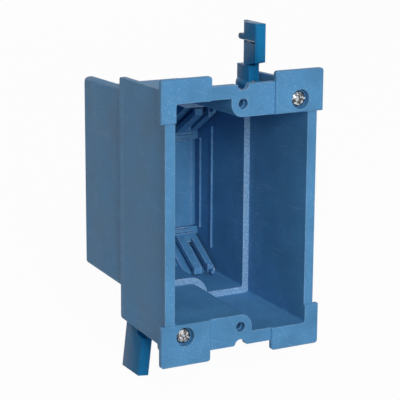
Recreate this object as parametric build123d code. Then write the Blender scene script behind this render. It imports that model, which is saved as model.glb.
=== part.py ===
from build123d import *
import os
from math import asin, atan, cos, degrees, hypot, radians, sin, tan

# One-gang old-work wall box: an S-shaped moulded housing with two drywall arms on long screws.
# Frame: the origin is midway between the two device screw holes, on the front of the device plate.
# The room is towards -Y, the wall cavity towards +Y, and +Z is up.
# The box repeats itself after half a turn about the Y axis, so each detail is drawn once.

os.makedirs("parts", exist_ok=True)

# Opening and walls, as distances across the box and above the device screws
device_spacing = 83.34
opening_half_width = 27.2
opening_above_device = 2.13
step_radius = 4.75
wall = 2.1
draft = 1.1
front_depth = 42.8
rear_depth = 39.3
ledge_width = 2.5
outer_corner = 1.6
inner_corner = 1.0
step_corner = 0.5
cheek_corner_round = 3.0

# Flange at the front: device plate, side strips and four ears
plate_thickness = 2.5
plate_above_device = 7.13
strip_thickness = 1.2
strip_overhang = 1.8
ear_overhang = 3.8
ear_above_device = 10.93
ear_width = 20.1
ear_height = 15.7
ear_proud = 0.95
ear_corner = 1.1
edge_easing = 0.35

# Holes in the flange
notch_radius = 2.3
notch_lip = 0.8
device_hole_radius = 1.88
device_pilot_radius = 1.55
device_pilot_length = 8.0
boss_floor = 1.5
arm_screw_inset = 3.8
head_seat_gap = 0.8
head_seat_depth = 1.6

# Rails that the side walls raise above the top wall, and skirts beside the arms
rail_height = 4.1
rail_fall = 0.6
skirt_height = 3.0
skirt_fall = 0.8
collar_length = 10.4
rail_corner = 1.2

# Rear corners: break-out webs behind the cable clamps, counted from the back
panel_drop = 5.45
web_thickness = 0.6
web_slope = 32.2
web_slope_length = 17.6
web_side_wall = 1.1
recess_length = 26.1
spine_half_width = 11.6
web_rib_height = 1.2
web_rib_width = 0.8

# Back panel
panel_lip_height = 3.4
panel_lip_proud = 2.5
panel_pad_proud = 0.8
panel_pad_margin = 2.1
panel_groove_count = 2
panel_groove_width = 0.5
panel_groove_depth = 0.9
panel_groove_pitch = 1.7
panel_groove_step = 2.0

# Cable clamps: a fork with two prongs on each rear corner
fork_length = 16.0
fork_slope = 32.0
fork_thickness = 1.9
fork_web_gap = 2.6
fork_root_cover = 0.2
fork_spine_gap = 1.7
fork_cheek_gap = 1.0
fork_inner_prong = 3.3
fork_slot_width = 2.8
fork_slot_end_wall = 1.0
fork_foot_length = 2.0
fork_foot_drop = 2.5
fork_foot_lug = 1.0
fork_fin_thickness = 0.5
fork_peg_radius = 0.8
fork_peg_length = 3.2
fork_peg_point = 0.4

# Two stiffening ribs on each rear side wall
front_rib_from_back = 16.6
front_rib_half_height = 25.2
back_rib_from_back = 7.2
back_rib_half_height = 18.8
rib_raise = 0.45
rib_thickness = 0.8
rib_proud = 0.8

# Drywall arm, sizes counted from its screw's axis and from its pad
arm_half_width = 2.2
arm_back_inset = 0.5
arm_depth = 14.3
arm_block_depth = 9.2
arm_neck_step = 5.0
arm_length = 24.0
arm_shoulder = 7.2
arm_pad_start = 9.3
arm_pad_proud = 0.35
arm_pad_border = 0.45
arm_side_plate = 1.6
arm_hub_gap = 0.15
arm_edge_round = 0.5
arm_tip_round = 1.0
arm_peg_start = 17.1
arm_peg_height = 2.3
arm_peg_length = 4.4
arm_slit = 0.7
arm_slit_front_wall = 1.0
arm_stop_gap = 0.155

# Long arm screw
screw_radius = 1.7
screw_running_gap = 0.06
screw_hole_gap = 0.25
screw_head_radius = 2.8
screw_head_height = 1.45
screw_head_gap = 0.05
screw_head_easing = 0.5
screw_past_arm = 1.7
screw_tip_chamfer = 0.6
cross_length = 3.9
cross_width = 0.75
cross_depth = 0.85

# How far cutting shapes pass a surface, a length beyond the whole box, and how near counts as equal
overlap = 0.5
far = 120.0
near = 0.01

# Places that follow from the values above
device_z = device_spacing / 2
opening_high = device_z + opening_above_device
plate_half_height = device_z + plate_above_device
ear_half_height = device_z + ear_above_device
ear_bottom_z = ear_half_height - ear_height
wall_half_width = opening_half_width + wall
strip_half_width = wall_half_width + strip_overhang
ear_half_width = wall_half_width + ear_overhang
ear_inner_x = ear_half_width - ear_width
total_depth = front_depth + rear_depth
draft_slope = tan(radians(draft))
ledge_front_y = front_depth - wall
panel_y = total_depth - wall
boss_length = device_pilot_length + boss_floor
arm_screw_x = opening_half_width - arm_screw_inset
rail_front_z = opening_high + rail_height
rail_back_z = rail_front_z - rail_fall
skirt_front_z = opening_high + skirt_height
skirt_back_z = skirt_front_z - skirt_fall
web_tangent = tan(radians(web_slope))
web_bend_y = total_depth - web_slope_length
web_bend_z = ledge_width + draft_slope * web_bend_y - opening_high
fork_root_y = panel_y - panel_lip_proud
fork_section = fork_thickness / cos(radians(fork_slope))
fork_root_z = web_bend_z + web_tangent * (fork_root_y - web_bend_y) + fork_web_gap + fork_section
panel_half_height = -panel_drop - fork_root_z + fork_root_cover
pad_half_height = panel_half_height - panel_lip_height
arm_back_y = front_depth - arm_back_inset
arm_pad_y = arm_back_y - arm_depth
arm_neck_y = arm_pad_y + arm_neck_step
arm_block_back_y = arm_pad_y + arm_block_depth


def half_turn(shape):
    """The same shape after half a turn about the Y axis."""
    return Rot(0, 180, 0) * shape


def with_half_turn(shape):
    """The shape and its half-turned twin as one."""
    return shape + half_turn(shape)


def block(x, y, z):
    """A box between two limits on each axis."""
    size = Box(x[1] - x[0], y[1] - y[0], z[1] - z[0])
    return Pos((x[0] + x[1]) / 2, (y[0] + y[1]) / 2, (z[0] + z[1]) / 2) * size


def rod(x, z, radius, y_front, y_back):
    """A round rod along Y."""
    return Pos(x, (y_front + y_back) / 2, z) * Rot(90, 0, 0) * Cylinder(radius, y_back - y_front)


def side_profile(points, x_start, x_end):
    """A prism along X with its outline given as points (y, z)."""
    outline = make_face(Polyline(*[(0, y, z) for y, z in points], close=True).edges())
    prism = extrude(outline, amount=x_end - x_start, dir=(1, 0, 0))
    return Pos(x_start, 0, 0) * prism


def s_section(half_width, high, radius, corner, y, upright_step):
    """The S-shaped outline of the housing, across the Y axis.

    Its upper left and lower right reach the full height. The other two corners stand back round the
    device screw holes, to leave room for the drywall arms. An upright step has a straight stretch
    between its arc and the corner above.
    """
    low = device_z - radius
    reach = 0 if upright_step else high - device_z
    start_angle = 180 - degrees(asin(reach / radius))
    middle_angle = radians((start_angle + 270) / 2)
    start_x = radius * cos(radians(start_angle))
    arc_middle = (radius * cos(middle_angle), y, device_z + radius * sin(middle_angle))
    half = [ThreePointArc((start_x, y, device_z + reach), arc_middle, (0, y, low)),
            Line((0, y, low), (half_width, y, low)),
            Line((half_width, y, low), (half_width, y, -high)),
            Line((half_width, y, -high), (-start_x, y, -high))]
    if upright_step:
        half.append(Line((-start_x, y, -high), (-start_x, y, -device_z)))
    outline = [edge for line in half for edge in line.edges()]
    outline += [edge for line in half for edge in half_turn(line).edges()]
    face = make_face(outline)
    wide_corners = [v for v in face.vertices() if abs(v.X) > half_width - near]
    face = fillet(wide_corners, corner)
    step_corners = [v for v in face.vertices()
                    if abs(abs(v.Z) - high) < near and abs(v.X) < half_width / 2]
    return fillet(step_corners, step_corner)


def s_block(inset, y_front, y_back, corner, upright_step):
    """A drafted block on the S outline, a given distance inside the edge of the opening."""
    ends = []
    for y in (y_front, y_back):
        shrink = inset + draft_slope * y
        ends.append(s_section(opening_half_width - shrink, opening_high - shrink,
                              step_radius + shrink, corner, y, upright_step))
    return loft(ends, ruled=True)


def inner_half_width(y, inset=0.0):
    """Half the clear width between the side walls at a given depth."""
    return opening_half_width - inset - draft_slope * y


def side_wall():
    """The left side wall, with its rail above the top wall and its skirt beside the lower arm."""
    lean = draft_slope * front_depth
    points = [(-wall_half_width, 0), (-opening_half_width, 0), (lean - opening_half_width, front_depth),
              (lean - wall_half_width, front_depth)]
    plan = make_face(Polyline(*[(x, y, -far / 2) for x, y in points], close=True).edges())
    slab = extrude(plan, amount=far, dir=(0, 0, 1))
    profile = side_profile([(0, -plate_half_height), (collar_length, -plate_half_height),
                            (collar_length, -skirt_front_z), (front_depth, -skirt_back_z),
                            (front_depth, rail_back_z), (0, rail_front_z)], -far / 2, 0)
    back_corners = profile.edges().filter_by(Axis.X).group_by(Axis.Y)[-1]
    collar_corner = profile.edges().filter_by(Axis.X).sort_by(Axis.Z)[:2]
    profile = fillet(back_corners + [e for e in collar_corner if e.center().Y > collar_length / 2],
                     rail_corner)
    return slab & profile


def flange():
    """Device plate, side strips and the four ears, before the opening is cut."""
    strips = block((-strip_half_width, strip_half_width), (0, strip_thickness),
                   (-ear_bottom_z - overlap, ear_bottom_z + overlap))
    plate = block((-wall_half_width, wall_half_width), (0, plate_thickness),
                  (-plate_half_height, plate_half_height))
    ear = block((ear_inner_x, ear_half_width), (-ear_proud, strip_thickness),
                (ear_bottom_z, ear_half_height))
    upright = ear.edges().filter_by(Axis.Y)
    ear = fillet([e for e in upright if e.center().Z > ear_bottom_z + overlap], ear_corner)
    ear = chamfer(ear.faces().sort_by(Axis.Y)[0].edges(), edge_easing)
    pair = ear + mirror(ear, about=Plane.YZ)
    return strips + plate + with_half_turn(pair)


def flange_holes():
    """Notch, device hole and arm screw seat of the upper end."""
    notch = rod(0, plate_half_height, notch_radius, -overlap, plate_thickness + overlap)
    device = rod(0, device_z, device_hole_radius, -overlap, plate_thickness)
    device += rod(0, device_z, device_pilot_radius, 0, device_pilot_length)
    seat = rod(arm_screw_x, device_z, screw_head_radius + head_seat_gap, -ear_proud - overlap,
               head_seat_depth)
    hole = rod(arm_screw_x, device_z, screw_radius + screw_hole_gap, 0, plate_thickness + overlap)
    return notch + device + seat + hole


def round_notch_lips(body):
    """Ease the two lips of each notch in the plate's ends."""
    lips = [e for e in body.edges().filter_by(Axis.Y)
            if abs(abs(e.center().Z) - plate_half_height) < near
            and abs(abs(e.center().X) - notch_radius) < near]
    return fillet(lips, notch_lip)


def below_web(offset, x_start, x_end):
    """Everything outside the sloping web of the lower right rear corner, as a prism."""
    bend_z = web_bend_z - offset / cos(radians(web_slope))
    front_y = front_depth - overlap
    back_y = total_depth + overlap
    return side_profile([(front_y, bend_z - web_tangent * (web_bend_y - front_y)),
                         (back_y, bend_z + web_tangent * (back_y - web_bend_y)),
                         (back_y, -far), (front_y, -far)], x_start, x_end)


def mirror_over_panel(shape):
    """The shape mirrored up and down about the middle of the right back panel."""
    return mirror(shape, about=Plane.XY.offset(-panel_drop))


def corner_recesses():
    """What the two right rear corners lose on the outside, next to the cheek.

    The full-height lower corner is cut away as far as the step, the upper one as far as the spine.
    """
    cheek_x = inner_half_width(total_depth, ledge_width)
    lower = below_web(web_thickness, 0, cheek_x)
    upper = mirror_over_panel(below_web(web_thickness, spine_half_width, cheek_x))
    flat = block((0, cheek_x), (total_depth - recess_length, total_depth + overlap),
                 (-far, web_bend_z - web_thickness))
    return flat + lower + upper


def corner_webs():
    """What the rear cavity loses at the two right corners: the webs, with a rib on the lower one."""
    spine_x = spine_half_width - web_side_wall
    lower = below_web(0, -web_side_wall, opening_half_width)
    upper = mirror_over_panel(below_web(0, spine_x, opening_half_width))
    rib = below_web(-web_rib_height, spine_x - web_rib_width, spine_x)
    return lower + upper + rib


def back_panel():
    """Pad and lips on the right half of the back wall, on the side facing the opening."""
    wall_x = inner_half_width(panel_y, ledge_width)
    inner_x = spine_half_width - web_side_wall
    pad_x = wall_x - panel_pad_margin
    pad = block((inner_x, pad_x), (panel_y - panel_pad_proud, panel_y + overlap),
                (-panel_drop - pad_half_height, -panel_drop + pad_half_height))
    lip = block((inner_x, wall_x + overlap), (panel_y - panel_lip_proud, panel_y + overlap),
                (-panel_drop - panel_half_height, -panel_drop - pad_half_height))
    lip = fillet(lip.edges().filter_by(Axis.X).group_by(Axis.Y)[0], edge_easing)
    for step in range(panel_groove_count):
        groove_z = -panel_drop - panel_half_height + panel_groove_pitch * (step + 0.5)
        lip -= block((0, pad_x - panel_groove_step * step), (0, fork_root_y + panel_groove_depth),
                     (groove_z, groove_z + panel_groove_width))
    return pad + lip + mirror_over_panel(lip)


def clamp_fork():
    """The cable clamp of the lower right rear corner: two prongs on the panel's lip."""
    tip_y = fork_root_y - fork_length
    tip_z = fork_root_z - tan(radians(fork_slope)) * fork_length
    low_z = tip_z - fork_foot_drop
    inner_x = spine_half_width + fork_spine_gap
    outer_x = inner_half_width(total_depth, ledge_width) - fork_cheek_gap
    slot_x = inner_x + fork_inner_prong
    lug_x = slot_x + fork_slot_width
    web_z = fork_root_z - fork_section - overlap
    prongs = side_profile([(tip_y, tip_z), (fork_root_y, fork_root_z), (panel_y + overlap, fork_root_z),
                           (panel_y + overlap, web_z), (fork_root_y + overlap, fork_root_z - fork_section),
                           (tip_y, tip_z - fork_section)], inner_x, outer_x)
    foot = block((inner_x, outer_x), (tip_y, tip_y + fork_foot_length), (low_z, tip_z))
    lug = block((lug_x, lug_x + fork_foot_lug), (tip_y, tip_y + fork_foot_length),
                (tip_z - overlap, tip_z + fork_foot_lug))
    fin = block((outer_x - fork_fin_thickness, outer_x), (tip_y - fork_foot_lug, tip_y + overlap),
                (low_z, tip_z - fork_fin_thickness))
    peg = rod(lug_x + fork_foot_lug, low_z + fork_peg_radius, fork_peg_radius,
              tip_y - fork_peg_length, tip_y + overlap)
    peg = chamfer(peg.faces().sort_by(Axis.Y)[0].edges(), fork_peg_point)
    slot = block((slot_x, lug_x), (tip_y - overlap, fork_root_y - fork_slot_end_wall), (-far, 0))
    return prongs + foot + lug + fin + peg - slot


def wall_ribs():
    """Thin upright ribs on the right rear side wall."""
    ribs = Part()
    for from_back, half_height in ((front_rib_from_back, front_rib_half_height),
                                   (back_rib_from_back, back_rib_half_height)):
        y = total_depth - from_back
        wall_x = inner_half_width(y, ledge_width)
        middle_z = rib_raise - panel_drop
        ribs += block((wall_x - rib_proud, wall_x + overlap),
                      (y - rib_thickness / 2, y + rib_thickness / 2),
                      (middle_z - half_height, middle_z + half_height))
    return ribs


def cheek_corner():
    """What rounds off the lower right corner of the back, as seen from the side."""
    low = draft_slope * total_depth + ledge_width - wall - opening_high
    centre_y = total_depth - cheek_corner_round
    centre_z = low + cheek_corner_round
    corner = block((0, far / 2), (centre_y, total_depth + overlap), (low - overlap, centre_z))
    bar = Rot(0, 90, 0) * Cylinder(cheek_corner_round, far)
    return corner - Pos(far / 2, centre_y, centre_z) * bar


def box_body():
    """The moulded housing."""
    front = s_block(-wall, 0, front_depth, outer_corner, True)
    rear = s_block(ledge_width - wall, ledge_front_y, total_depth, outer_corner, False)
    rear -= with_half_turn(cheek_corner())
    body = front + rear + with_half_turn(side_wall()) + flange()
    bosses = rod(0, device_z, step_radius, 0, boss_length)
    body += with_half_turn(bosses)
    front_cavity = s_block(0, -ear_proud - overlap, ledge_front_y, inner_corner, True)
    rear_cavity = s_block(ledge_width, ledge_front_y - overlap, panel_y, inner_corner, False)
    rear_cavity -= with_half_turn(corner_webs())
    body -= with_half_turn(corner_recesses())
    body -= front_cavity
    body -= rear_cavity
    body -= with_half_turn(flange_holes())
    body = round_notch_lips(body)
    details = back_panel() + clamp_fork() + mirror_over_panel(clamp_fork()) + wall_ribs()
    return body + with_half_turn(details)


def arm_stop_angle():
    """How far an arm leans out before its side meets the rail of the side wall, in degrees."""
    room = inner_half_width(arm_back_y) - arm_screw_x - arm_stop_gap
    rail = rail_back_z - device_z
    return degrees(asin(room / hypot(arm_half_width, rail)) - atan(arm_half_width / rail))


def drywall_arm():
    """The upper arm, upright: a hub on the screw, a neck, and a block with the gripping pad."""
    tip = arm_length
    block_y = arm_pad_y + arm_pad_proud
    plate_x = arm_half_width - arm_side_plate
    side_room = inner_half_width(arm_back_y) - arm_screw_x
    step_room = step_radius - wall + draft_slope * arm_neck_y
    hub = rod(0, 0, min(side_room, step_room) - arm_hub_gap, arm_neck_y, arm_back_y)
    neck = block((-arm_half_width, arm_half_width), (arm_neck_y, arm_back_y), (0, arm_shoulder + overlap))
    body = side_profile([(block_y, arm_pad_start), (arm_neck_y, arm_shoulder),
                         (arm_block_back_y, arm_shoulder), (arm_block_back_y, tip), (block_y, tip)],
                        -arm_half_width, arm_half_width)
    plate = block((plate_x, arm_half_width), (arm_neck_y, arm_back_y), (arm_shoulder, tip))
    plate = fillet(plate.edges().filter_by(Axis.X).group_by(Axis.Y)[-1].sort_by(Axis.Z)[-1:],
                   arm_tip_round)
    slit = block((-arm_half_width - overlap, plate_x),
                 (arm_pad_y + arm_slit_front_wall, arm_block_back_y + overlap),
                 (arm_peg_start - arm_slit, arm_peg_start))
    pad = block((arm_pad_border - arm_half_width, arm_half_width - arm_pad_border),
                (arm_pad_y, block_y + overlap), (arm_pad_start + arm_pad_border, tip - arm_pad_border))
    arm = hub + neck + body
    arm = fillet(arm.edges().filter_by(Axis.Z).group_by(Axis.Y)[0], arm_edge_round)
    arm = arm + plate + arm_peg() + pad - slit
    return arm - rod(0, 0, screw_radius + screw_running_gap, 0, far)


def arm_peg():
    """The round-ended peg at the back of the arm's block."""
    radius = arm_peg_height / 2
    middle_z = arm_peg_start + radius
    end_y = arm_block_back_y + arm_peg_length - radius
    width = 2 * arm_half_width - overlap
    middle_x = -overlap / 2
    bar = block((middle_x - width / 2, middle_x + width / 2), (arm_block_back_y - overlap, end_y),
                (arm_peg_start, arm_peg_start + arm_peg_height))
    return bar + Pos(middle_x, end_y, middle_z) * Rot(0, 90, 0) * Cylinder(radius, width)


def arm_screw():
    """The long screw that turns the arm out and draws it to the wall board."""
    head_back = head_seat_depth - screw_head_gap
    head_front = head_back - screw_head_height
    head = rod(0, 0, screw_head_radius, head_front, head_back)
    head = chamfer(head.edges().group_by(Axis.Y)[0], screw_head_easing)
    shaft = rod(0, 0, screw_radius, head_back - overlap, arm_back_y + screw_past_arm)
    shaft = chamfer(shaft.edges().group_by(Axis.Y)[-1], screw_tip_chamfer)
    cross_y = (head_front - overlap, head_front + cross_depth)
    long_side = (-cross_length / 2, cross_length / 2)
    short_side = (-cross_width / 2, cross_width / 2)
    cross = block(long_side, cross_y, short_side) + block(short_side, cross_y, long_side)
    return head + shaft - cross


upper_place = Pos(arm_screw_x, 0, device_z)
upper_arm = upper_place * drywall_arm()
upper_screw = upper_place * arm_screw()
lower_arm = half_turn(upper_place * Rot(0, arm_stop_angle(), 0) * drywall_arm())
lower_screw = half_turn(upper_screw)

export_step(box_body(), "parts/box_body.step")
export_step(upper_arm, "parts/upper_swing_arm.step")
export_step(lower_arm, "parts/lower_swing_arm.step")
export_step(upper_screw, "parts/upper_arm_screw.step")
export_step(lower_screw, "parts/lower_arm_screw.step")
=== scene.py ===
"""Looks of the one-gang old-work wall box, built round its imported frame.

The housing is the frame's mesh with the flange's edges rounded, in a frosted plastic. The two
drywall arms and their two long screws are modelled here with eased edges, threads and driver
recesses. Lengths are in metres in the frame's own axes: -Y towards the room, +Y into the wall,
+Z up.
"""

import logging
import math
from dataclasses import dataclass, field
from enum import Enum
from typing import Callable

import bpy
from mathutils import Matrix, Vector


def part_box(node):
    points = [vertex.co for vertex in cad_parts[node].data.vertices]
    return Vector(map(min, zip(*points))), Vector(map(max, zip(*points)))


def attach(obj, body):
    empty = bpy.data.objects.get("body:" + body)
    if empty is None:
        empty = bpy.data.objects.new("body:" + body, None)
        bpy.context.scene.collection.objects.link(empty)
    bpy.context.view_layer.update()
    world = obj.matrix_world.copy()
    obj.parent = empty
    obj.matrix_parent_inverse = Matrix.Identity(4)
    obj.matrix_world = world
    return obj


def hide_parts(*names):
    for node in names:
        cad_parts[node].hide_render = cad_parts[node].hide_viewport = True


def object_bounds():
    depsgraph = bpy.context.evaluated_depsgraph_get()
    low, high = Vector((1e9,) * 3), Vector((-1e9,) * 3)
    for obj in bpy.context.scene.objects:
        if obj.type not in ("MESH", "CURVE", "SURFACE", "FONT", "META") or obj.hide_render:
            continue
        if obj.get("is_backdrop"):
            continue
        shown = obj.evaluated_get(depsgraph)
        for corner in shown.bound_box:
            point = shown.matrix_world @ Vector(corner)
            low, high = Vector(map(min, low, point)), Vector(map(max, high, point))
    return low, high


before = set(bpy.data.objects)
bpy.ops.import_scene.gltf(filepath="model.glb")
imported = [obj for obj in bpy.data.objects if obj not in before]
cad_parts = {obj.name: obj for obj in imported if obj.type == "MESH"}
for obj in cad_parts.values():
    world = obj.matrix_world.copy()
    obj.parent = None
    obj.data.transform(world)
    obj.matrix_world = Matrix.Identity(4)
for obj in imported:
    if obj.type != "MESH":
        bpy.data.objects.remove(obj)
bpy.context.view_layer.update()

MM = 0.001
LOG = logging.getLogger("wall_box")

Colour = tuple[float, float, float]
Place = tuple[float, float, float]


class End(Enum):
    """The two ends of the box, which are half-turned copies of each other."""

    UPPER = 0
    LOWER = 1


# ---- Mesh work ----------------------------------------------------------------------------


class Bench:
    """Small steps of mesh work that every modelled piece uses."""

    @staticmethod
    def clear() -> None:
        """Leave edit mode and deselect every object."""
        if bpy.context.object and bpy.context.object.mode != "OBJECT":
            bpy.ops.object.mode_set(mode="OBJECT")
        bpy.ops.object.select_all(action="DESELECT")

    @staticmethod
    def take(*pieces: bpy.types.Object) -> None:
        """Select some pieces alone, with the first one active.

        Args:
            pieces: The objects to work on.
        """
        Bench.clear()
        for piece in pieces:
            piece.select_set(True)
        bpy.context.view_layer.objects.active = pieces[0]

    @staticmethod
    def box(name: str, low: Vector, high: Vector) -> bpy.types.Object:
        """Add a box between two corners.

        Args:
            name: Name of the new object.
            low: Lowest corner.
            high: Highest corner.

        Returns:
            The new object, with its scale applied.
        """
        Bench.clear()
        bpy.ops.mesh.primitive_cube_add(size=1, location=(low + high) / 2, scale=high - low)
        bpy.ops.object.transform_apply(location=True, rotation=True, scale=True)
        bpy.context.object.name = name
        return bpy.context.object

    @staticmethod
    def rod(name: str, radius: float, front: float, back: float, sides: int) -> bpy.types.Object:
        """Add a round rod along Y on the origin's axis.

        Args:
            name: Name of the new object.
            radius: Radius of the rod.
            front: Lowest y.
            back: Highest y.
            sides: Number of sides round the rod.

        Returns:
            The new object, with its place applied.
        """
        Bench.clear()
        bpy.ops.mesh.primitive_cylinder_add(
            vertices=sides, radius=radius, depth=back - front,
            location=(0, (front + back) / 2, 0), rotation=(math.pi / 2, 0, 0))
        bpy.ops.object.transform_apply(location=True, rotation=True, scale=True)
        bpy.context.object.name = name
        return bpy.context.object

    @staticmethod
    def pick_faces(piece: bpy.types.Object, wanted: Callable[[Vector, Vector], bool]) -> None:
        """Select faces by their middle and normal, and stay in edit mode.

        Args:
            piece: The object to edit.
            wanted: Tells from a face's middle and normal whether it is wanted.
        """
        Bench.take(piece)
        bpy.ops.object.mode_set(mode="EDIT")
        bpy.ops.mesh.select_mode(type="FACE")
        bpy.ops.mesh.select_all(action="DESELECT")
        bpy.ops.object.mode_set(mode="OBJECT")
        for face in piece.data.polygons:
            face.select = wanted(face.center, face.normal)
        bpy.ops.object.mode_set(mode="EDIT")

    @staticmethod
    def combine(piece: bpy.types.Object, other: bpy.types.Object, operation: str) -> None:
        """Apply a boolean with another object, which is then removed.

        Args:
            piece: The object that stays.
            other: The object that is used up.
            operation: UNION or DIFFERENCE.
        """
        cut = piece.modifiers.new("combine", "BOOLEAN")
        cut.operation = operation
        cut.solver = "EXACT"
        cut.object = other
        Bench.apply(piece)
        bpy.data.objects.remove(other)

    @staticmethod
    def apply(piece: bpy.types.Object) -> None:
        """Apply every modifier of an object.

        Args:
            piece: The object whose modifiers become its mesh.
        """
        Bench.take(piece)
        for modifier in list(piece.modifiers):
            bpy.ops.object.modifier_apply(modifier=modifier.name)

    @staticmethod
    def ease(piece: bpy.types.Object, width: float, angle: float, steps: int) -> None:
        """Round the sharp edges of a piece and shade it smooth between them.

        Args:
            piece: The object to ease.
            width: Width of the rounding.
            angle: Edges sharper than this angle, in degrees, are rounded.
            steps: Number of faces across a rounding.
        """
        bevel = piece.modifiers.new("ease", "BEVEL")
        bevel.width = width
        bevel.segments = steps
        bevel.limit_method = "ANGLE"
        bevel.angle_limit = math.radians(angle)
        bevel.use_clamp_overlap = False
        Bench.apply(piece)
        bpy.ops.object.shade_smooth_by_angle(angle=math.radians(angle))

    @staticmethod
    def merge(piece: bpy.types.Object, distance: float) -> None:
        """Merge double points and turn all faces outwards.

        Args:
            piece: The object to clean.
            distance: Points nearer than this become one.
        """
        Bench.take(piece)
        bpy.ops.object.mode_set(mode="EDIT")
        bpy.ops.mesh.select_all(action="SELECT")
        bpy.ops.mesh.remove_doubles(threshold=distance)
        bpy.ops.mesh.normals_make_consistent(inside=False)
        bpy.ops.object.mode_set(mode="OBJECT")

    @staticmethod
    def join_flats(piece: bpy.types.Object, angle: float) -> None:
        """Join faces that lie in one plane.

        Args:
            piece: The object to clean.
            angle: Faces that differ less than this, in degrees, become one.
        """
        Bench.take(piece)
        bpy.ops.object.mode_set(mode="EDIT")
        bpy.ops.mesh.select_all(action="SELECT")
        bpy.ops.mesh.dissolve_limited(angle_limit=math.radians(angle))
        bpy.ops.object.mode_set(mode="OBJECT")

    @staticmethod
    def copy_to(piece: bpy.types.Object, name: str, place: Matrix) -> bpy.types.Object:
        """Copy a piece with its own mesh and put it in its place.

        Args:
            piece: The piece that is copied.
            name: Name of the copy.
            place: Where the copy goes, applied to its mesh.

        Returns:
            The copy, whose object sits at the origin.
        """
        made = piece.copy()
        made.data = piece.data.copy()
        made.name = name
        made.data.name = name
        bpy.context.scene.collection.objects.link(made)
        made.data.transform(place)
        return made


# ---- Materials ----------------------------------------------------------------------------


class Sheet:
    """A node tree with short calls to add and join its nodes."""

    def __init__(self, tree: bpy.types.NodeTree) -> None:
        """Work on one tree.

        Args:
            tree: The tree that new nodes go to.
        """
        self.tree = tree

    def add(self, kind: str, settings: dict | None = None, **inputs: object) -> bpy.types.Node:
        """Add a node.

        Args:
            kind: Node type without its ShaderNode prefix.
            settings: Properties of the node.
            inputs: Values or output sockets by input name, with _ for a space.

        Returns:
            The new node.
        """
        node = self.tree.nodes.new("ShaderNode" + kind)
        for key, value in (settings or {}).items():
            setattr(node, key, value)
        for key, value in inputs.items():
            self.put(node.inputs[key.replace("_", " ")], value)
        return node

    def put(self, socket: bpy.types.NodeSocket, value: object) -> None:
        """Give a socket a value, or join it to an output socket.

        Args:
            socket: The input socket.
            value: A plain value, or the output socket that feeds it.
        """
        if isinstance(value, bpy.types.NodeSocket):
            self.tree.links.new(value, socket)
        else:
            socket.default_value = value

    def maths(self, operation: str, first: object, second: object = 0.0) -> bpy.types.NodeSocket:
        """Add a Math node.

        Args:
            operation: The node's operation.
            first: Its first value or socket.
            second: Its second value or socket.

        Returns:
            The node's result.
        """
        node = self.add("Math", {"operation": operation})
        self.put(node.inputs[0], first)
        self.put(node.inputs[1], second)
        return node.outputs[0]

    def fit(self, value: object, low: float, high: float, to_low: float, to_high: float
            ) -> bpy.types.NodeSocket:
        """Map one range of a value to another, clamped.

        Args:
            value: The value or socket to map.
            low: Start of its range.
            high: End of its range.
            to_low: Result at the start.
            to_high: Result at the end.

        Returns:
            The mapped value.
        """
        node = self.add("MapRange", {"clamp": True})
        for socket, given in zip(node.inputs, (value, low, high, to_low, to_high)):
            self.put(socket, given)
        return node.outputs[0]

    def blend(self, share: object, first: object, second: object) -> bpy.types.NodeSocket:
        """Mix two colours.

        Args:
            share: Share of the second colour.
            first: The first colour or socket.
            second: The second colour or socket.

        Returns:
            The mixed colour.
        """
        node = self.add("Mix", {"data_type": "RGBA"})
        self.put(node.inputs["Factor"], share)
        self.put(node.inputs["A"], first)
        self.put(node.inputs["B"], second)
        return node.outputs["Result"]


# A mask is stretched from a range of a noise, whose output lies between nought and one. Where a
# mask is broken up, its least value stays. A scratch direction has its turn and its shift.
CLOUD_RANGE = (0.3, 0.7)
SPARK_CELLS = (0.80, 0.95)
SPARK_SIZE = (0.15, 0.45)
SPARK_PATCHES = (0.42, 0.60)
SPARK_BETWEEN = 0.15
SCUFF_SOFTNESS = 0.08
SCUFF_TURNS = ((0.62, 0.0), (-0.35, 0.4), (1.25, 0.9))
EDGE_LINE = (0.55, 0.9)
EDGE_BREAKS = (0.38, 0.62)
EDGE_LEAST = 0.25
BAND_GRAINS = (0.38, 0.62)
BAND_LEAST = 0.15


def rgba(colour: Colour) -> tuple[float, float, float, float]:
    """Give a colour full alpha.

    Args:
        colour: Red, green and blue.

    Returns:
        The colour with a fourth value of one.
    """
    return (*colour, 1.0)


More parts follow.
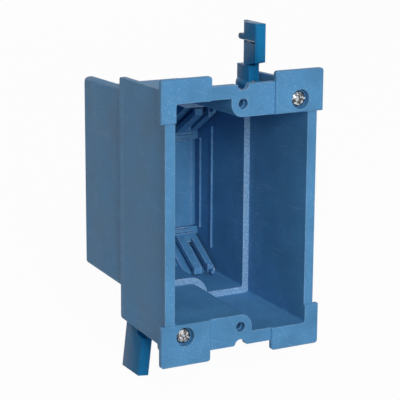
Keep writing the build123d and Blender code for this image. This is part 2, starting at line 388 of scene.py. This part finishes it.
class Effects:
    """Node groups that several finishes share, each built once."""

    def __init__(self) -> None:
        """Build every group."""
        self.frost = self._frost()
        self.scuffs = self._scuffs()
        self.edges = self._edge_highlights()
        self.band = self._ledge_sheen()

    @staticmethod
    def _new(name: str, inputs: dict[str, float], outputs: list[str]
             ) -> tuple[bpy.types.NodeTree, Sheet, bpy.types.Node, bpy.types.Node]:
        """Start a group.

        Args:
            name: Name of the group.
            inputs: Default of each value input.
            outputs: Names of the value outputs.

        Returns:
            The group, its sheet, its input node and its output node.
        """
        group = bpy.data.node_groups.new(name, "ShaderNodeTree")
        for key, value in inputs.items():
            socket = group.interface.new_socket(key, in_out="INPUT", socket_type="NodeSocketFloat")
            socket.default_value = value
        for key in outputs:
            group.interface.new_socket(key, in_out="OUTPUT", socket_type="NodeSocketFloat")
        sheet = Sheet(group)
        source = group.nodes.new("NodeGroupInput")
        sink = group.nodes.new("NodeGroupOutput")
        return group, sheet, source, sink

    def _frost(self) -> bpy.types.NodeTree:
        """Fine frosted moulding texture: a height and broad clouds, with bright specks that are
        painted sparkle glints.

        Returns:
            The node group.
        """
        group, sheet, source, sink = self._new(
            "frost_texture_and_sparkle_glints", {"Grain Scale": 2600.0, "Cloud Scale": 60.0},
            ["Height", "Sparkle Glints", "Clouds"])
        place = sheet.add("TexCoord").outputs["Object"]
        grain = sheet.add("TexNoise", Vector=place, Scale=source.outputs["Grain Scale"],
                          Detail=3.0, Roughness=0.65)
        cells = sheet.add("TexVoronoi", {"feature": "F1"}, Vector=place,
                          Scale=source.outputs["Grain Scale"])
        # Bright specks in patches: painted sparkle glints, pale colour standing in for light
        # catching the rough surface.
        pick = sheet.add("SeparateColor", Color=cells.outputs["Color"])
        spark = sheet.fit(pick.outputs[0], *SPARK_CELLS, 0.0, 1.0)
        near = sheet.fit(cells.outputs["Distance"], *SPARK_SIZE, 1.0, 0.0)
        cloud = sheet.add("TexNoise", Vector=place, Scale=source.outputs["Cloud Scale"],
                          Detail=4.0, Roughness=0.6)
        sheet.put(sink.inputs["Height"], grain.outputs["Fac"])
        patch = sheet.fit(cloud.outputs["Fac"], *SPARK_PATCHES, SPARK_BETWEEN, 1.0)
        sheet.put(sink.inputs["Sparkle Glints"],
                  sheet.maths("MULTIPLY", sheet.maths("MULTIPLY", spark, near), patch))
        sheet.put(sink.inputs["Clouds"], cloud.outputs["Fac"])
        return group

    def _scuffs(self) -> bpy.types.NodeTree:
        """Thin scratches in three directions, as one mask.

        Returns:
            The node group.
        """
        group, sheet, source, sink = self._new(
            "scuff_marks", {"Length": 55.0, "Fineness": 1700.0, "Rarity": 0.69}, ["Marks"])
        place = sheet.add("TexCoord").outputs["Object"]
        marks = []
        for turn, shift in SCUFF_TURNS:
            turned = sheet.add("Mapping", Vector=place, Rotation=(0.0, turn, 0.0),
                               Location=(shift, shift, shift))
            stretch = sheet.add("CombineXYZ", X=source.outputs["Fineness"],
                                Y=source.outputs["Length"], Z=source.outputs["Length"])
            spot = sheet.add("VectorMath", {"operation": "MULTIPLY"})
            sheet.put(spot.inputs[0], turned.outputs["Vector"])
            sheet.put(spot.inputs[1], stretch.outputs["Vector"])
            lines = sheet.add("TexNoise", Vector=spot.outputs["Vector"], Scale=1.0, Detail=1.0)
            marks.append(sheet.maths("SUBTRACT", lines.outputs["Fac"], source.outputs["Rarity"]))
        most = sheet.maths("MAXIMUM", sheet.maths("MAXIMUM", marks[0], marks[1]), marks[2])
        sheet.put(sink.inputs["Marks"], sheet.fit(most, 0.0, SCUFF_SOFTNESS, 0.0, 1.0))
        return group

    def _edge_highlights(self) -> bpy.types.NodeTree:
        """Painted highlights along a part's outer edges, where rounded edges would catch the light,
        broken up in patches.

        Returns:
            The node group.
        """
        group, sheet, source, sink = self._new(
            "painted_edge_highlights", {"Breakup Scale": 420.0, "Reach": 0.00042}, ["Edges"])
        place = sheet.add("TexCoord").outputs["Object"]
        # A pale line where an edge is sharp: a painted highlight standing in for light on a rounded
        # edge.
        inside = sheet.add("AmbientOcclusion", {"inside": True, "samples": 8, "only_local": True},
                           Distance=source.outputs["Reach"])
        line = sheet.fit(inside.outputs["AO"], *EDGE_LINE, 1.0, 0.0)
        noise = sheet.add("TexNoise", Vector=place, Scale=source.outputs["Breakup Scale"],
                          Detail=3.0)
        broken = sheet.fit(noise.outputs["Fac"], *EDGE_BREAKS, EDGE_LEAST, 1.0)
        sheet.put(sink.inputs["Edges"], sheet.maths("MULTIPLY", line, broken))
        return group

    def _ledge_sheen(self) -> bpy.types.NodeTree:
        """Painted sheen on the faces at one depth, the inner ledge: pale, grainy colour that stands
        in for the light it catches.

        Returns:
            The node group.
        """
        group, sheet, source, sink = self._new(
            "painted_ledge_sheen", {"Depth": 0.0407, "Reach": 0.00015, "Grain Scale": 1500.0},
            ["Band"])
        place = sheet.add("TexCoord").outputs["Object"]
        depth = sheet.add("SeparateXYZ", Vector=place).outputs["Y"]
        away = sheet.maths("ABSOLUTE", sheet.maths("SUBTRACT", depth, source.outputs["Depth"]))
        inside = sheet.maths("LESS_THAN", away, source.outputs["Reach"])
        # Grainy breakup of the painted sheen.
        grain = sheet.add("TexNoise", Vector=place, Scale=source.outputs["Grain Scale"], Detail=2.0)
        rough = sheet.fit(grain.outputs["Fac"], *BAND_GRAINS, BAND_LEAST, 1.0)
        sheet.put(sink.inputs["Band"], sheet.maths("MULTIPLY", inside, rough))
        return group


@dataclass(frozen=True)
class Plastic:
    """A moulded plastic with a frosted surface and scuffs, and painted light: sparkle glints, edge
    highlights and a ledge sheen.
    """

    name: str
    colour: Colour
    pale: Colour
    roughness: float
    cloudiness: float
    sparkle_glint_share: float
    scuff_share: float
    edge_highlight_share: float
    gloss: float
    bump: float
    ledge_sheen_share: float = 0.0
    roughness_swing: float = 0.05
    bump_strength: float = 0.6

    def make(self, effects: Effects) -> bpy.types.Material:
        """Build the material.

        Args:
            effects: The shared node groups.

        Returns:
            The material.
        """
        material = bpy.data.materials.new(self.name)
        material.use_nodes = True
        sheet = Sheet(material.node_tree)
        shader = material.node_tree.nodes["Principled BSDF"]
        frost = sheet.add("Group", {"node_tree": effects.frost})
        scuffs = sheet.add("Group", {"node_tree": effects.scuffs})
        edges = sheet.add("Group", {"node_tree": effects.edges})
        band = sheet.add("Group", {"node_tree": effects.band})
        low = tuple(c * (1 - self.cloudiness) for c in self.colour)
        high = tuple(c * (1 + self.cloudiness) for c in self.colour)
        clouds = sheet.fit(frost.outputs["Clouds"], *CLOUD_RANGE, 0.0, 1.0)
        colour = sheet.blend(clouds, rgba(low), rgba(high))
        # The pale colour goes in for scuffs, which are wear, and for painted light: sparkle glints,
        # edge highlights and a ledge sheen.
        marks = ((frost.outputs["Sparkle Glints"], self.sparkle_glint_share),
                 (scuffs.outputs["Marks"], self.scuff_share),
                 (edges.outputs["Edges"], self.edge_highlight_share),
                 (band.outputs["Band"], self.ledge_sheen_share))
        for mask, share in marks:
            colour = sheet.blend(sheet.maths("MULTIPLY", mask, share), colour, rgba(self.pale))
        sheet.put(shader.inputs["Base Color"], colour)
        rough = sheet.fit(frost.outputs["Clouds"], *CLOUD_RANGE,
                          self.roughness - self.roughness_swing,
                          self.roughness + self.roughness_swing)
        sheet.put(shader.inputs["Roughness"], rough)
        shader.inputs["Specular IOR Level"].default_value = self.gloss
        bump = sheet.add("Bump", Strength=self.bump_strength, Distance=self.bump,
                         Height=frost.outputs["Height"])
        sheet.put(shader.inputs["Normal"], bump.outputs["Normal"])
        return material


@dataclass(frozen=True)
class Zinc:
    """Bright zinc plating with turning marks and dark patches, partly stains and partly painted
    dark reflection.
    """

    name: str = "zinc_plate"
    colour: Colour = (0.68, 0.70, 0.72)
    stain_and_dark_reflection: Colour = (0.05, 0.055, 0.06)
    roughness: float = 0.22
    turning_scale: float = 5200.0
    stain_and_reflection_scale: float = 1100.0
    stain_and_reflection_range: tuple[float, float] = (0.42, 0.54)
    stain_and_reflection_share: float = 0.92
    turning_range: tuple[float, float] = (0.3, 0.7)
    smoother: float = 0.08
    rougher: float = 0.14
    bump_strength: float = 0.35
    bump: float = 0.02 * MM

    def make(self) -> bpy.types.Material:
        """Build the material.

        Returns:
            The material.
        """
        material = bpy.data.materials.new(self.name)
        material.use_nodes = True
        sheet = Sheet(material.node_tree)
        shader = material.node_tree.nodes["Principled BSDF"]
        shader.inputs["Metallic"].default_value = 1.0
        place = sheet.add("TexCoord").outputs["Object"]
        # Dark patches: partly stains, partly painted dark reflection that gives the zinc its
        # contrast.
        stain_and_reflection_noise = sheet.add("TexNoise", Vector=place, Scale=self.stain_and_reflection_scale, Detail=4.0)
        fine = sheet.add("TexNoise", Vector=place, Scale=self.turning_scale, Detail=2.0)
        share = sheet.fit(stain_and_reflection_noise.outputs["Fac"], *self.stain_and_reflection_range, 0.0, self.stain_and_reflection_share)
        sheet.put(shader.inputs["Base Color"],
                  sheet.blend(share, rgba(self.colour), rgba(self.stain_and_dark_reflection)))
        sheet.put(shader.inputs["Roughness"],
                  sheet.fit(fine.outputs["Fac"], *self.turning_range,
                            self.roughness - self.smoother, self.roughness + self.rougher))
        bump = sheet.add("Bump", Strength=self.bump_strength, Distance=self.bump,
                         Height=fine.outputs["Fac"])
        sheet.put(shader.inputs["Normal"], bump.outputs["Normal"])
        return material


BODY_PLASTIC = Plastic(
    name="frosted_blue", colour=(0.082, 0.272, 0.515), pale=(0.55, 0.72, 0.90), roughness=0.52,
    cloudiness=0.14, sparkle_glint_share=0.85, scuff_share=0.09, edge_highlight_share=0.60, gloss=0.28,
    bump=0.03 * MM, ledge_sheen_share=0.50)
ARM_PLASTIC = Plastic(
    name="glossy_teal", colour=(0.012, 0.205, 0.460), pale=(0.12, 0.40, 0.62), roughness=0.25,
    cloudiness=0.05, sparkle_glint_share=0.05, scuff_share=0.06, edge_highlight_share=0.30, gloss=0.06,
    bump=0.008 * MM)
# Near-white arm plastic for the side of the slit's lip: a painted glint.
GLINT_PAINTED_PLASTIC = Plastic(
    name="painted_glint_teal", colour=(0.80, 0.88, 0.93), pale=(0.95, 0.97, 1.0), roughness=0.40,
    cloudiness=0.04, sparkle_glint_share=0.10, scuff_share=0.05, edge_highlight_share=0.10, gloss=0.12,
    bump=0.008 * MM)


# ---- Pieces -------------------------------------------------------------------------------


def arm_places() -> dict[End, Matrix]:
    """Where each arm and screw stands, from the frame's own screws.

    Returns:
        For each end, the placing of a shape drawn upright on the origin's Y axis.
    """
    low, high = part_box("upper_arm_screw")
    middle = (low + high) / 2
    upper = Matrix.Translation((middle.x, 0, middle.z))
    return {End.UPPER: upper, End.LOWER: Matrix.Rotation(math.pi, 4, "Y") @ upper}


@dataclass
class Housing:
    """The moulded housing: the frame's own mesh with the flange's edges rounded."""

    node: str = "box_body"
    weld: float = 0.002 * MM
    edge_depth: float = 2.6 * MM
    sharp_angle: float = 50.0
    rounding: float = 0.15 * MM
    rounding_steps: int = 2
    made: bpy.types.Object | None = None

    def build(self) -> None:
        """Copy the frame's mesh, round the flange's edges and let it stand for the node."""
        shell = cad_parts[self.node]
        self.made = Bench.copy_to(shell, "wall_box_moulding", shell.matrix_world)
        self.made.parent = None
        self.made.matrix_world = Matrix.Identity(4)
        Bench.merge(self.made, self.weld)
        self.round_edges()
        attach(self.made, "box")
        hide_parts(self.node)
        LOG.info("housing built")

    def round_edges(self) -> None:
        """Round the flange's sharp edges."""
        mesh = self.made.data
        bpy.ops.object.mode_set(mode="EDIT")
        bpy.ops.mesh.select_mode(type="EDGE")
        bpy.ops.mesh.select_all(action="DESELECT")
        bpy.ops.mesh.edges_select_sharp(sharpness=math.radians(self.sharp_angle))
        bpy.ops.object.mode_set(mode="OBJECT")
        for edge in mesh.edges:
            ends = (mesh.vertices[i].co.y for i in edge.vertices)
            edge.select = edge.select and max(ends) < self.edge_depth
        bpy.ops.object.mode_set(mode="EDIT")
        bpy.ops.mesh.bevel(offset=self.rounding, segments=self.rounding_steps,
                           clamp_overlap=False)
        bpy.ops.object.mode_set(mode="OBJECT")
        bpy.ops.object.shade_flat()

    def dress(self, material: bpy.types.Material) -> None:
        """Give the housing its plastic.

        Args:
            material: The frosted plastic.
        """
        self.made.data.materials.clear()
        self.made.data.materials.append(material)


@dataclass
class DrywallArms:
    """The two swinging arms, drawn once and copied to each end."""

    half_width: float = 2.2 * MM
    shoulder: float = 7.2 * MM
    pad_start: float = 9.3 * MM
    pad_proud: float = 0.35 * MM
    pad_border: float = 0.45 * MM
    neck_step: float = 5.0 * MM
    block_depth: float = 9.2 * MM
    side_plate: float = 1.6 * MM
    peg_start: float = 17.1 * MM
    peg_height: float = 2.3 * MM
    peg_length: float = 4.4 * MM
    slit: float = 0.7 * MM
    slit_wall: float = 1.0 * MM
    lip_height: float = 0.40 * MM
    lip_proud: float = 0.08 * MM
    bore: float = 1.76 * MM
    overlap: float = 0.4 * MM
    easing: float = 0.15 * MM
    easing_angle: float = 40.0
    easing_steps: int = 3
    pad_steps: int = 2
    flat_angle: float = 0.5
    cut_weld: float = 0.02 * MM
    last_weld: float = 0.0005 * MM
    round_sides: int = 40
    peg_sides: int = 24
    lean: float = 6.6
    made: dict[End, bpy.types.Object] = field(default_factory=dict)

    def build(self) -> None:
        """Model the arm and copy it to both ends."""
        low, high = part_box("upper_swing_arm")
        places = arm_places()
        axis = places[End.UPPER].translation
        shape = self.shape(low.y, high.y, high.z - axis.z, axis.z - low.z)
        lean = Matrix.Rotation(math.radians(self.lean), 4, "Y")
        self.made[End.UPPER] = Bench.copy_to(shape, "upper_wall_arm", places[End.UPPER])
        self.made[End.LOWER] = Bench.copy_to(shape, "lower_wall_arm", places[End.LOWER] @ lean)
        bpy.data.objects.remove(shape)
        for end, word in ((End.UPPER, "upper"), (End.LOWER, "lower")):
            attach(self.made[end], f"{word}_arm")
            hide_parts(f"{word}_swing_arm")
            LOG.info("%s arm built", word)

    def shape(self, front: float, back: float, tip: float, hub: float) -> bpy.types.Object:
        """Model one upright arm on the origin's Y axis.

        Args:
            front: y of the pad's face.
            back: y of the arm's back.
            tip: Height of the tip over the screw's axis.
            hub: Radius of the hub.

        Returns:
            The arm as one mesh.
        """
        half, neck_y = self.half_width, front + self.neck_step
        block_front, block_back = front + self.pad_proud, front + self.block_depth
        arm = Bench.box("arm", Vector((-half, block_front, self.shoulder)),
                        Vector((half, block_back, tip)))
        for point in arm.data.vertices:
            if point.co.z < self.pad_start and point.co.y < neck_y:
                point.co.z = self.pad_start
        neck = Bench.box("neck", Vector((-half, neck_y, 0)),
                         Vector((half, back, self.shoulder + self.overlap)))
        Bench.combine(arm, neck, "UNION")
        Bench.combine(arm, Bench.rod("hub", hub, neck_y, back, self.round_sides), "UNION")
        plate = Bench.box("plate", Vector((half - self.side_plate, neck_y, self.shoulder)),
                          Vector((half, back, tip)))
        Bench.combine(arm, plate, "UNION")
        Bench.combine(arm, self.peg(block_back), "UNION")
        slit_front = front + self.slit_wall
        slit = Bench.box("slit", Vector((-2 * half, slit_front, self.peg_start - self.slit)),
                         Vector((half - self.side_plate, back, self.peg_start)))
        Bench.combine(arm, slit, "DIFFERENCE")
        bore = Bench.rod("bore", self.bore, front, back + self.overlap, self.round_sides)
        Bench.combine(arm, bore, "DIFFERENCE")
        Bench.merge(arm, self.cut_weld)
        Bench.join_flats(arm, self.flat_angle)
        Bench.ease(arm, self.easing, self.easing_angle, self.easing_steps)
        border = self.pad_border
        pad = Bench.box("pad", Vector((border - half, front, self.pad_start + border)),
                        Vector((half - border, block_front + self.overlap, tip - border)))
        Bench.ease(pad, self.pad_proud / 2, self.easing_angle, self.pad_steps)
        Bench.combine(arm, pad, "UNION")
        lip = Bench.box("lip", Vector((-half - self.lip_proud, slit_front, self.peg_start)),
                        Vector((self.overlap - half, block_back,
                                self.peg_start + self.lip_height)))
        Bench.combine(arm, lip, "UNION")
        Bench.merge(arm, self.last_weld)
        bpy.ops.object.shade_smooth_by_angle(angle=math.radians(self.easing_angle))
        for _ in range(2):
            arm.data.materials.append(None)
        # The lip's side faces beside the slit take the near-white second material, a painted glint.
        for face in arm.data.polygons:
            beside = face.center.x < -half - self.lip_proud / 2
            face.material_index = int(beside and face.center.z > self.shoulder)
        return arm

    def peg(self, block_back: float) -> bpy.types.Object:
        """Model the round-ended peg.

        Args:
            block_back: y of the block's back, which carries the peg.

        Returns:
            The peg as one mesh.
        """
        radius = self.peg_height / 2
        end_y = block_back + self.peg_length - radius
        width = 2 * self.half_width - self.overlap
        middle_x = -self.overlap / 2
        low = Vector((middle_x - width / 2, block_back - self.overlap, self.peg_start))
        high = Vector((middle_x + width / 2, end_y, self.peg_start + self.peg_height))
        peg = Bench.box("peg", low, high)
        Bench.clear()
        bpy.ops.mesh.primitive_cylinder_add(
            vertices=self.peg_sides, radius=radius, depth=width, rotation=(0, math.pi / 2, 0),
            location=(middle_x, end_y, self.peg_start + radius))
        end = bpy.context.object
        bpy.ops.object.transform_apply(location=True, rotation=True, scale=True)
        Bench.combine(peg, end, "UNION")
        return peg

    def dress(self, material: bpy.types.Material, glint_paint: bpy.types.Material) -> None:
        """Give both arms their plastic.

        Args:
            material: The glossy plastic.
            glint_paint: The same plastic, near white along the slit's lip as a painted glint.
        """
        for piece in self.made.values():
            piece.data.materials[0] = material
            piece.data.materials[1] = glint_paint


@dataclass
class ArmScrews:
    """The two long screws: a pan head with a cross recess, and a threaded shank."""

    head_radius: float = 2.8 * MM
    head_height: float = 1.45 * MM
    dome: float = 0.55 * MM
    cross_length: float = 3.9 * MM
    cross_width: float = 0.75 * MM
    cross_depth: float = 0.85 * MM
    slot_width: float = 0.8 * MM
    slot_depth: float = 0.45 * MM
    crest_radius: float = 1.7 * MM
    root_radius: float = 1.28 * MM
    pitch: float = 0.79 * MM
    sides: int = 32
    head_sides: int = 48
    dome_steps: int = 5
    dome_arc: float = 0.8
    facing: float = 0.99
    slot_reach: float = 1.1
    head_weld: float = 0.005 * MM
    head_smoothing: float = 32.0
    shank_overlap: float = 0.2 * MM
    root_sink: float = 0.9
    thread_foot: float = 0.85
    crest_span: tuple[float, float] = (0.36, 0.50)
    thread_weld: float = 0.001 * MM
    shank_smoothing: float = 35.0
    lower_turn: float = 25.0
    made: dict[End, bpy.types.Object] = field(default_factory=dict)

    def build(self) -> None:
        """Model the screw and copy it to both ends."""
        low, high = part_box("upper_arm_screw")
        screw = self.head(low.y)
        shank = self.shank(low.y + self.head_height, high.y)
        Bench.take(screw, shank)
        bpy.ops.object.join()
        places = arm_places()
        self.made[End.UPPER] = Bench.copy_to(screw, "upper_clamp_screw", places[End.UPPER])
        turned = Matrix.Rotation(math.radians(self.lower_turn), 4, "Y")
        self.made[End.LOWER] = Bench.copy_to(screw, "lower_clamp_screw", places[End.LOWER] @ turned)
        bpy.data.objects.remove(screw)
        for end, word in ((End.UPPER, "upper"), (End.LOWER, "lower")):
            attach(self.made[end], f"{word}_screw")
            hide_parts(f"{word}_arm_screw")
            LOG.info("%s screw built", word)

    def head(self, front: float) -> bpy.types.Object:
        """Model the domed head with its recess.

        Args:
            front: y of the head's foremost point.

        Returns:
            The head as one mesh.
        """
        head = Bench.rod("screw_head", self.head_radius, front + self.dome,
                         front + self.head_height, self.head_sides)
        quarter = math.pi / 2 / self.dome_steps
        for step in range(self.dome_steps):
            rise = math.sin((step + 1) * quarter) - math.sin(step * quarter)
            shrink = (math.cos((step + 1) * quarter * self.dome_arc)
                      / math.cos(step * quarter * self.dome_arc))
            Bench.pick_faces(head, lambda middle, normal: normal.y < -self.facing)
            bpy.ops.mesh.extrude_region_move(
                TRANSFORM_OT_translate={"value": (0, -self.dome * rise, 0)})
            bpy.ops.transform.resize(value=(shrink, 1, shrink))
            bpy.ops.object.mode_set(mode="OBJECT")
        half, deep = self.cross_width / 2, front + self.cross_depth
        reach = self.cross_length / 2
        for name, across, up in (("cut_a", reach, half), ("cut_b", half, reach)):
            cutter = Bench.box(name, Vector((-across, front - self.dome, -up)),
                               Vector((across, deep, up)))
            Bench.combine(head, cutter, "DIFFERENCE")
        across, up = self.head_radius * self.slot_reach, self.slot_width / 2
        slot = Bench.box("slot", Vector((-across, front - self.dome, -up)),
                         Vector((across, front + self.slot_depth, up)))
        Bench.combine(head, slot, "DIFFERENCE")
        Bench.merge(head, self.head_weld)
        Bench.take(head)
        bpy.ops.object.shade_smooth_by_angle(angle=math.radians(self.head_smoothing))
        return head

    def shank(self, front: float, back: float) -> bpy.types.Object:
        """Model the threaded shank as a turned V profile.

        Args:
            front: y where the thread meets the head.
            back: y of the tip.

        Returns:
            The shank as one mesh.
        """
        turns = int((back - front) / self.pitch)
        core = Bench.rod("shank", self.root_radius, front - self.shank_overlap, back, self.sides)
        Bench.clear()
        bpy.ops.mesh.primitive_plane_add(size=1, location=(0, 0, 0))
        ridge = bpy.context.object
        ridge.name = "thread"
        root, (crest_front, crest_back) = self.root_radius * self.root_sink, self.crest_span
        corners = ((root, 0.0), (root, self.thread_foot), (self.crest_radius, crest_front),
                   (self.crest_radius, crest_back))
        for point, (reach, share) in zip(ridge.data.vertices, corners):
            point.co = (reach, share * self.pitch, 0)
        turn = ridge.modifiers.new("turn", "SCREW")
        turn.axis = "Y"
        turn.angle = 2 * math.pi
        turn.steps = turn.render_steps = self.sides
        turn.screw_offset = self.pitch
        turn.iterations = max(1, turns - 1)
        turn.use_merge_vertices = True
        turn.merge_threshold = self.thread_weld
        Bench.apply(ridge)
        low = min(point.co.y for point in ridge.data.vertices)
        ridge.data.transform(Matrix.Translation((0, front - low, 0)))
        Bench.merge(ridge, self.thread_weld)
        bpy.ops.object.mode_set(mode="EDIT")
        bpy.ops.mesh.select_all(action="SELECT")
        bpy.ops.mesh.fill_holes(sides=4)
        bpy.ops.mesh.normals_make_consistent(inside=False)
        bpy.ops.object.mode_set(mode="OBJECT")
        Bench.take(core, ridge)
        bpy.ops.object.join()
        bpy.ops.object.shade_smooth_by_angle(angle=math.radians(self.shank_smoothing))
        return core

    def dress(self, material: bpy.types.Material) -> None:
        """Give both screws their zinc.

        Args:
            material: The zinc plating.
        """
        for piece in self.made.values():
            piece.data.materials.clear()
            piece.data.materials.append(material)


# ---- Studio -------------------------------------------------------------------------------


@dataclass(frozen=True)
class Lamp:
    """A soft rectangular lamp that looks at the object's middle."""

    name: str
    place: Place
    size: float
    power: float

    def hang(self, target: Vector) -> None:
        """Add the lamp.

        Args:
            target: The point that it looks at.
        """
        data = bpy.data.lights.new(self.name, "AREA")
        data.shape = "SQUARE"
        data.size = self.size
        data.energy = self.power
        lamp = bpy.data.objects.new(self.name, data)
        bpy.context.scene.collection.objects.link(lamp)
        lamp.location = self.place
        lamp.rotation_euler = (target - lamp.location).to_track_quat("-Z", "Y").to_euler()


@dataclass
class Studio:
    """Camera, floor, lamps and surroundings."""

    camera_place: Place = (-270.574 * MM, -472.137 * MM, 139.188 * MM)
    yaw: float = 28.212
    pitch: float = -13.717
    roll: float = 0.325
    lens: float = 139.52
    sensor: float = 36.0
    clip: tuple[float, float] = (0.01, 50.0)
    floor_size: float = 12.0
    floor_gap: float = 0.1 * MM
    floor_white: float = 0.97
    floor_paint: Colour = (0.9, 0.9, 0.9)
    white: Colour = (1.0, 1.0, 1.0)
    surround: Colour = (0.012, 0.012, 0.012)
    lamps: tuple[Lamp, ...] = (
        Lamp("key_lamp", (-0.45, -1.55, 0.65), 0.5, 12.4),
        Lamp("high_lamp", (-0.3, -1.1, 1.4), 1.0, 8.0),
        Lamp("low_lamp", (0.0, -1.7, 0.1), 0.3, 4.0),
        Lamp("back_lamp", (0.05, 1.85, 0.12), 0.6, 8.0),
        Lamp("right_lamp", (1.75, 0.1, 0.25), 0.9, 4.0),
    )

    def set_up(self) -> None:
        """Make the camera, the floor, the lamps and the surroundings."""
        self.camera()
        self.floor()
        self.surroundings()
        low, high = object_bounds()
        for lamp in self.lamps:
            lamp.hang((low + high) / 2)
        view = bpy.context.scene.view_settings
        view.view_transform = "Standard"
        LOG.info("studio: %d lamps", len(self.lamps))

    def camera(self) -> None:
        """Stand the camera where the photograph was taken from."""
        yaw, pitch, roll = (math.radians(a) for a in (self.yaw, self.pitch, self.roll))
        ahead = Vector((math.sin(yaw) * math.cos(pitch), math.cos(yaw) * math.cos(pitch),
                        math.sin(pitch)))
        level = ahead.cross(Vector((0, 0, 1))).normalized()
        above = level.cross(ahead)
        right = level * math.cos(roll) + above * math.sin(roll)
        top = above * math.cos(roll) - level * math.sin(roll)
        data = bpy.data.cameras.new("camera")
        data.lens = self.lens
        data.sensor_width = self.sensor
        data.clip_start, data.clip_end = self.clip
        camera = bpy.data.objects.new("camera", data)
        bpy.context.scene.collection.objects.link(camera)
        turn = Matrix((right, top, -ahead)).transposed().to_4x4()
        camera.matrix_world = Matrix.Translation(self.camera_place) @ turn
        bpy.context.scene.camera = camera

    def seen_share(self, sheet: Sheet) -> bpy.types.NodeSocket:
        """Tell the rays that are seen from those that light surfaces.

        Args:
            sheet: The node tree to add to.

        Returns:
            One for rays that the camera, gloss or glass sees, and nought for the others.
        """
        path = sheet.add("LightPath")
        first = sheet.maths("MAXIMUM", path.outputs["Is Camera Ray"], path.outputs["Is Glossy Ray"])
        return sheet.maths("MAXIMUM", first, path.outputs["Is Transmission Ray"])

    def floor(self) -> None:
        """Lay the plain pale floor under the lowest point."""
        low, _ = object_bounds()
        Bench.clear()
        bpy.ops.mesh.primitive_plane_add(size=self.floor_size,
                                         location=(0, 0, low.z - self.floor_gap))
        plane = bpy.context.object
        plane.name = "floor"
        bpy.ops.object.transform_apply(location=True, rotation=True, scale=True)
        material = bpy.data.materials.new("pale_floor")
        material.use_nodes = True
        sheet = Sheet(material.node_tree)
        material.node_tree.nodes.remove(material.node_tree.nodes["Principled BSDF"])
        glow = sheet.add("Emission", Color=rgba(self.white), Strength=1.0)
        paint = sheet.add("BsdfDiffuse", Color=rgba(self.floor_paint))
        share = sheet.maths("MULTIPLY", self.seen_share(sheet), self.floor_white)
        mixed = sheet.add("MixShader")
        sheet.put(mixed.inputs[0], share)
        sheet.put(mixed.inputs[1], paint.outputs[0])
        sheet.put(mixed.inputs[2], glow.outputs[0])
        sheet.put(material.node_tree.nodes["Material Output"].inputs["Surface"], mixed.outputs[0])
        plane.data.materials.append(material)
        plane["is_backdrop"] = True

    def surroundings(self) -> None:
        """White where it is seen, and a dim even light on surfaces."""
        world = bpy.data.worlds.new("studio")
        bpy.context.scene.world = world
        world.use_nodes = True
        sheet = Sheet(world.node_tree)
        dim = world.node_tree.nodes["Background"]
        dim.inputs["Color"].default_value = rgba(self.surround)
        white = sheet.add("Background", Color=rgba(self.white), Strength=1.0)
        mixed = sheet.add("MixShader")
        sheet.put(mixed.inputs[0], self.seen_share(sheet))
        sheet.put(mixed.inputs[1], dim.outputs[0])
        sheet.put(mixed.inputs[2], white.outputs[0])
        sheet.put(world.node_tree.nodes["World Output"].inputs["Surface"], mixed.outputs[0])


def main() -> None:
    """Build every sub-assembly in order and report each one."""
    logging.basicConfig(level=logging.INFO, format="%(name)s: %(message)s")
    effects = Effects()
    housing = Housing()
    housing.build()
    housing.dress(BODY_PLASTIC.make(effects))
    arms = DrywallArms()
    arms.build()
    arms.dress(ARM_PLASTIC.make(effects), GLINT_PAINTED_PLASTIC.make(effects))
    screws = ArmScrews()
    screws.build()
    screws.dress(Zinc().make())
    Studio().set_up()


if __name__ == "__main__":
    main()
